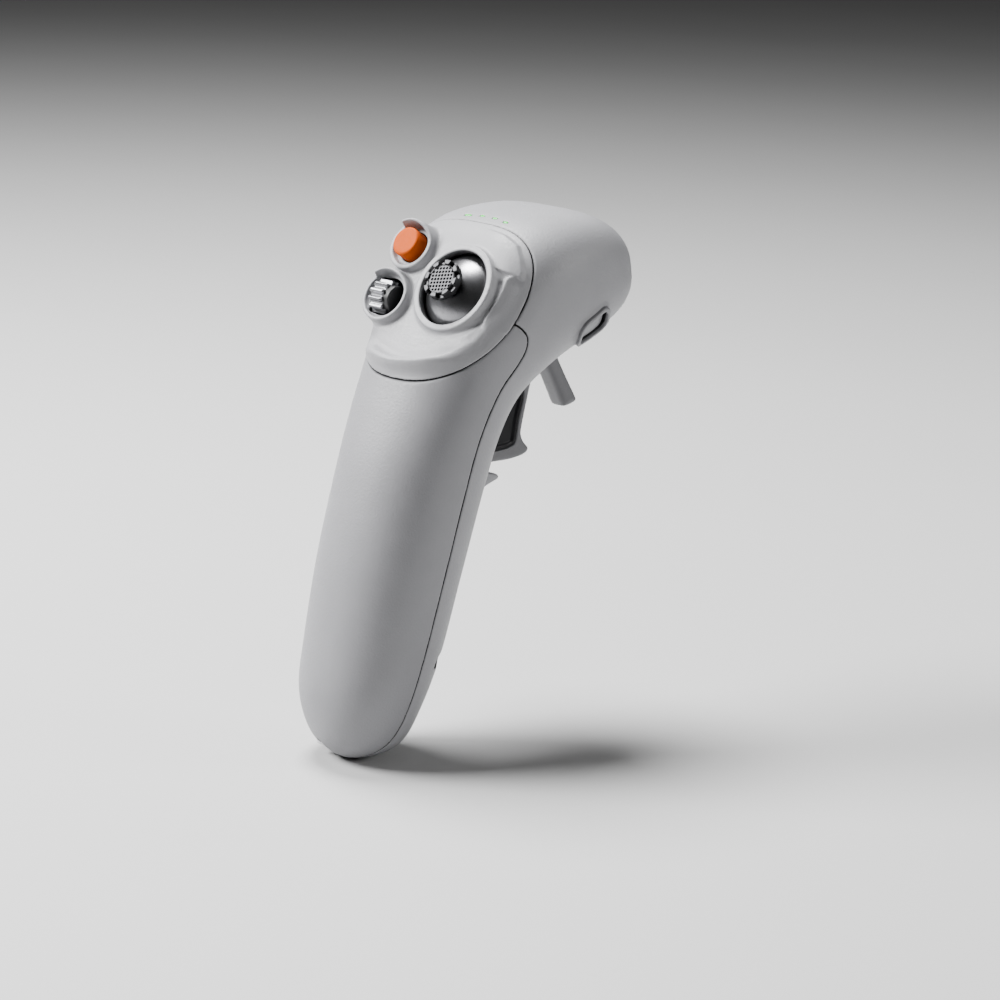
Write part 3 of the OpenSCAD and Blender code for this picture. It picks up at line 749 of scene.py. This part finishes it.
def build_controls():
    # lock button: a tall cap with a soft edge and a very slight dish
    top = 3.3
    profile = ([(0, -7), (1.4, -7), (1.4, -6), (LOCK_R, -6), (LOCK_R, -5.8)]
               + fillet(LOCK_R - 0.75, top - 0.75, 0.75, 0, 90)
               + [(2.4, top - 0.03), (1.2, top - 0.07), (0, top - 0.08)])
    lathe("lock_button_cap", profile, *LOCK_AT, 0, ORANGE, "lock_button", ["lock_button"], "orange_plastic")

    # joystick dome: a thin polished cap that hides the gimbal
    low = 4.2
    rim = math.acos(low / DOME_R)
    inner = DOME_R - 0.9
    outside = [(DOME_R * math.sin(a), DOME_R * math.cos(a)) for a in np.linspace(rim, 0.155, 48)]
    inner_rim = math.acos(low / inner)
    inside = [(inner * math.sin(a), inner * math.cos(a)) for a in np.linspace(0.17, inner_rim, 32)]
    lathe("stick_dome_cap", outside + inside + outside[:1], STICK_X, 0, -GIMBAL_DEPTH, DOME, "stick",
          ["stick_dome"], "dome_metal", 128)

    # thumb wheel with rounded ribs
    step = 0.13
    g = in_panel_grid((DIAL_AT[0] - 5.2, DIAL_AT[1] - 5.6, DIAL_AXIS_W - 5.6),
                      (DIAL_AT[0] + 4.8, DIAL_AT[1] + 5.6, DIAL_AXIS_W + 5.6), step)
    du, dw = g.u - DIAL_AT[1], g.w - DIAL_AXIS_W
    away = np.hypot(du, dw)
    ribs = np.cos(12 * np.arctan2(dw, du) + 0.6)
    radius = DIAL_R - 0.9 + 0.9 * (0.5 + 0.5 * np.clip(ribs * 1.4, -1, 1))
    wheel = smooth_max(away - radius, np.abs(g.x - WHEEL_X) - WHEEL_W / 2, 0.7)
    net_object("thumb_wheel", g, wheel, DIAL, "dial", ["dial_wheel"])
    # a hub beside the wheel whose black is painted shade, standing in for the dark inside of the wheel's
    # opening
    hub = smooth_max(away - DIAL_R + 1.1, np.abs(g.x - WHEEL_X - WHEEL_W / 2 - 0.5) - 1.1, 0.4)
    net_object("thumb_wheel_shade_hub", g, hub, BLACK, "dial", ["dial_wheel"])

    # joystick cap: a castellated rim round a knurled disc
    step = 0.11
    low_w = 13.9 - GIMBAL_DEPTH
    g = in_panel_grid((STICK_X - 6, -6, low_w - 0.4), (STICK_X + 6, 6, low_w + 4.2), step)
    px, pu, h = g.x - STICK_X, g.u, g.w - low_w
    away = np.hypot(px, pu)
    body = smooth_max(away - CAP_R + 0.9 * step_up(-h, -1.5, 0), h - 3.6, 0.4)
    body = smooth_max(body, -h, 0.3)
    disc = smooth_max(away - 4.0, 3.05 - h, 0.3)
    body = smooth_max(body, -disc, 0.25)
    angle = np.arctan2(pu, px)
    sector = (angle % (math.pi / 4)) - math.pi / 8
    notch = np.maximum(np.abs(away * np.sin(sector)) - 0.85, 2.3 - h)
    notch = np.maximum(notch, 4.15 - away)
    body = smooth_max(body, -notch, 0.3)
    pitch = 1.0
    c, s = math.cos(math.radians(12)), math.sin(math.radians(12))
    ka, kb = px * c + pu * s, pu * c - px * s
    across, along = (np.abs((k + pitch / 2) % pitch - pitch / 2) for k in (ka, kb))
    pit = np.maximum(across, along) - 0.26
    pit = np.maximum(np.maximum(pit, 2.35 - h), away - 3.75)
    body = np.maximum(body, -pit)
    bore = np.maximum(away - 2.03, h - 1.9)
    body = np.maximum(body, -bore)
    piece = net_object("stick_cap_skin", g, body, CHROME, "stick", ["stick_cap"])
    # painted shade in the knurl's pits, below the disc's top
    mark_depth(piece, g, np.where(away < 3.9, 4 * (h - 3.0), 9.0) + 0 * body)


# ---------------------------------------------------------------- side and front buttons, lights, flap
def build_buttons():
    step = 0.2
    g = Grid((16, 27.5, -21), (27.6, 45.5, -2), step)
    d = body_distance(g)
    fore, rise, out = side_button_coordinates(g)
    ring = smooth_max(round_box_distance(fore, rise, 12.6, 9.6, 3.4),
                      -round_box_distance(fore, rise, 10.3, 7.3, 2.5), 0.5)
    ring = smooth_max(smooth_max(ring, d - 1.3, 0.45), -(d + 1.2), 0.2)
    piece = net_object("side_bezel_rim", g, ring, TRIM, "body", ["side_bezel"])
    # painted shade in the groove inside the bezel's rim
    mark_depth(piece, g, np.where(round_box_distance(fore, rise, 11.3, 8.3, 3.0) < 0, d - 0.55, 1.0))
    key = smooth_max(round_box_distance(fore, rise, 9.0, 6.0, 2.0), d + 0.012 * fore ** 2, 0.6)
    key = smooth_max(key, -(out + 1.6), 0.2)
    stem = np.maximum(np.hypot(fore, rise) - 1.3, np.maximum(out, -(out + 2.6)))
    piece = net_object("side_button_key", g, np.minimum(key, stem), TRIM, "side_button", ["side_button"])
    # painted shade on the key's sides deep in its well
    mark_depth(piece, g, d + 0.4)

    g = Grid((-18, 46, 1.5), (18, 64, 12.2), step)
    d = body_distance(g)
    flat = pill_distance(g.x, g.z - FRONT_Z, FRONT_L, FRONT_W)
    ring = smooth_max(flat, -(flat + 1.5), 0.5)
    ring = smooth_max(smooth_max(ring, d - 0.9, 0.6), -(d + 1.6), 0.2)
    net_object("front_bezel_rim", g, ring, TRIM, "body", ["front_bezel"])
    key = smooth_max(smooth_max(flat + 1.7, d - 0.6, 0.6), -(d + 1.4), 0.2)
    net_object("front_button_key", g, key, TRIM, "front_button", ["front_button"])

    step = 0.12
    g = Grid((-8.4, 17.4, 11.4), (8.9, 21, 17.8), step)
    d = body_distance(g)
    lens = np.full(d.shape, 9.0)
    for x in LIGHT_X:
        one = pill_distance(g.x - x, g.y - light_y(x), light_l(x), 0.7)
        lens = np.minimum(lens, smooth_max(smooth_max(one, d - 0.02, 0.3), -(d + 1.9), 0.2))
    net_object("light_lenses", g, lens, GREEN, "body", ["light_pipes"])

    step = 0.22
    g = Grid((-9.5, -30, -127), (9.5, -17, -116), step)
    d = body_distance(g)
    flap = pill_distance(g.x, g.y - FLAP_Y, FLAP_L, FLAP_W)
    flap = smooth_max(smooth_max(flap, d, 0.5), -(d + WALL), 0.2)
    pull = smooth_max(pill_distance(g.x, g.y - FLAP_Y - 3.4, 5.0, 1.0), -(d + 0.45), 0.2)
    flap = smooth_max(flap, -pull, 0.3)
    net_object("charging_flap", g, flap, RUBBER, "usb_flap", ["usb_flap"])


# ---------------------------------------------------------------- trigger
# Side-view outlines (y, z) of the finger part, the front lever, and the inlay in each side
LOWER_TRIGGER = [(38.2, -17.2), (36.4, -26), (34.8, -32), (33.3, -38), (32.2, -43), (32.2, -45),
                 (33.4, -47), (35.2, -48.8), (34.9, -50), (33, -50.8), (28, -51.2), (21, -50.9),
                 (10.5, -50.2), (9.8, -46), (11.8, -40), (15, -33.5), (20, -27), (28, -21), (36.8, -15)]
FRONT_LEVER = [(41, -12.6), (43.5, -17), (47.5, -24.5), (50.6, -29.4), (54.2, -34.6), (56.8, -38.6),
               (55.2, -39.8), (52.2, -40.2), (51, -39.4), (48.6, -35.4), (45.6, -30.6), (42.4, -26),
               (39, -21), (37.4, -17)]
INLAY = [(32.2, -33.4), (30.6, -40), (29.6, -46), (28, -47.4), (24, -47.8), (13, -47.4), (13.5, -43),
         (17, -37), (22, -31.5), (30, -30.4)]


def build_trigger():
    step = 0.24
    g = Grid((-5.3, 8, -53), (5.3, 59, -10.5), step)
    lower = outline_distance(g.y, g.z, closed_curve(LOWER_TRIGGER, 4))
    lower = smooth_max(lower, np.abs(g.x) - TRIGGER_W / 2, 1.3)
    lever = outline_distance(g.y, g.z, closed_curve(FRONT_LEVER, 4))
    lever = smooth_max(lever, np.abs(g.x) - LEVER_W / 2, 2.1)
    hub = smooth_max(np.hypot(g.y - TRIGGER_Y, g.z - TRIGGER_Z) - 3.2, np.abs(g.x) - TRIGGER_W / 2, 0.3)
    whole = smooth_min(smooth_min(lower, lever, 0.8), hub, 0.5)
    whole = smooth_max(whole, 1.55 - np.hypot(g.y - TRIGGER_Y, g.z - TRIGGER_Z), 0.2)
    inlay = outline_distance(g.y, g.z, closed_curve(INLAY, 4))
    pocket = smooth_max(inlay, 3.55 - np.abs(g.x), 0.3)
    whole = smooth_max(whole, -pocket, 0.35)
    magnet = np.maximum(np.maximum(np.abs(g.x) - 1.5, np.abs(g.y - 32.2) - 1.6), np.abs(g.z + 22.6) - 1.6)
    whole = np.maximum(whole, -magnet)
    net_object("trigger_skin", g, whole, TRIGGER, "trigger", ["trigger"])
    dish = 0.5 * step_up(-inlay, 0.9, 1.7)
    pad = smooth_max(inlay + 0.18, np.abs(g.x) - 4.3 + dish, 0.4)
    pad = smooth_max(pad, 3.5 - np.abs(g.x), 0.1)
    net_object("trigger_inlay_pads", g, pad, GLOSS, "trigger", ["trigger_inlay"])


# ---------------------------------------------------------------- CAD nodes that stay
CAD_MATERIALS = {
    "chassis": INNER, "chassis_screws": STEEL, "shell_screws": STEEL, "gimbal_base": INNER,
    "gimbal_ring": ALUMINIUM, "stick_shaft": STEEL, "lock_switch": BLACK,
    "dial_bracket": BLACK, "thumb_board": BOARD, "side_switch": BLACK, "front_switch": BLACK,
    "trigger_pin": STEEL, "trigger_spring": STEEL, "hall_magnet": CHROME, "hall_board": BOARD,
    "main_board": BOARD, "antenna": BRASS, "battery_cell": WRAP, "battery_cradle": INNER,
    "vibration_motor": STEEL, "power_board": BOARD, "usb_socket": STEEL, "lanyard_pin": STEEL,
}


def dress_cad_nodes():
    """Gives the inner nodes their materials."""
    for name, material in CAD_MATERIALS.items():
        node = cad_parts[name]
        for place in node.material_slots:
            place.material = material


# ---------------------------------------------------------------- camera, light and floor
# The camera's place is in design millimetres
CAMERA_AT = (461.4, -489.8, 125.8)
CAMERA_AZIMUTH = math.radians(41.64)
CAMERA_ELEVATION = math.radians(15.27)
CAMERA_ROLL = math.radians(2.54)
CAMERA_LENS = 94.0


def add_camera():
    camera = bpy.data.cameras.new("camera")
    camera.lens = CAMERA_LENS
    camera.sensor_width = 36.0
    camera.clip_start = 0.01
    obj = bpy.data.objects.new("camera", camera)
    bpy.context.scene.collection.objects.link(obj)
    a, e = CAMERA_AZIMUTH, CAMERA_ELEVATION
    right = Vector((math.cos(a), math.sin(a), 0))
    back = Vector((math.sin(a) * math.cos(e), -math.cos(a) * math.cos(e), math.sin(e)))
    up = back.cross(right)
    turn = Matrix.Rotation(CAMERA_ROLL, 3, back)
    right, up = turn @ right, turn @ up
    spin = Matrix((right, up, back)).transposed().to_4x4()
    spin.translation = Vector(to_frame(CAMERA_AT))
    obj.matrix_world = spin
    bpy.context.scene.camera = obj


def area_light(name, at, aim, size, power):
    light = bpy.data.lights.new(name, "AREA")
    light.shape = "DISK"
    light.size = size
    light.energy = power
    obj = bpy.data.objects.new(name, light)
    bpy.context.scene.collection.objects.link(obj)
    obj.location = at
    obj.rotation_euler = (Vector(aim) - Vector(at)).to_track_quat("-Z", "Y").to_euler()


def add_floor():
    size = 4.0
    z = cad_box[0][2]
    corners = [(-size, -size, z), (size, -size, z), (size, size, z), (-size, size, z)]
    mesh = bpy.data.meshes.new("floor")
    mesh.from_pydata(corners, [], [(0, 1, 2, 3)])
    material, tree, bsdf = shader("floor_paint", (0.5, 0.5, 0.5), 0.6)
    soft = noise(tree, coordinates(tree), 3.0)
    paint = ramp(tree, soft, [(0.3, (0.49, 0.49, 0.49)), (0.7, (0.51, 0.51, 0.51))])
    tree.links.new(paint, bsdf.inputs["Base Color"])
    mesh.materials.append(material)
    floor = bpy.data.objects.new("floor", mesh)
    bpy.context.scene.collection.objects.link(floor)


def add_lights():
    world = bpy.data.worlds.new("studio")
    world.use_nodes = True
    world.node_tree.nodes["Background"].inputs["Color"].default_value = (1, 1, 1, 1)
    world.node_tree.nodes["Background"].inputs["Strength"].default_value = 0.05
    bpy.context.scene.world = world
    # where the lights stand, seen by the camera: to the right, towards it and up, in metres
    aim = Vector((0, 0, 0.08))
    a = CAMERA_AZIMUTH
    right = Vector((math.cos(a), math.sin(a), 0))
    near = Vector((math.sin(a), -math.cos(a), 0))
    up = Vector((0, 0, 1))
    area_light("key", aim - right * 0.8 + near * 0.02 + up * 0.62, aim, 0.45, 30.0)
    area_light("top", aim - right * 0.2 - near * 0.3 + up * 0.95, aim, 0.45, 28.0)
    area_light("fill", aim + right * 0.85 + near * 0.05 + up * 0.3, aim, 0.35, 3.5)


add_camera()
add_floor()
add_lights()
build_shells()
build_panel()
build_controls()
build_buttons()
build_trigger()
dress_cad_nodes()
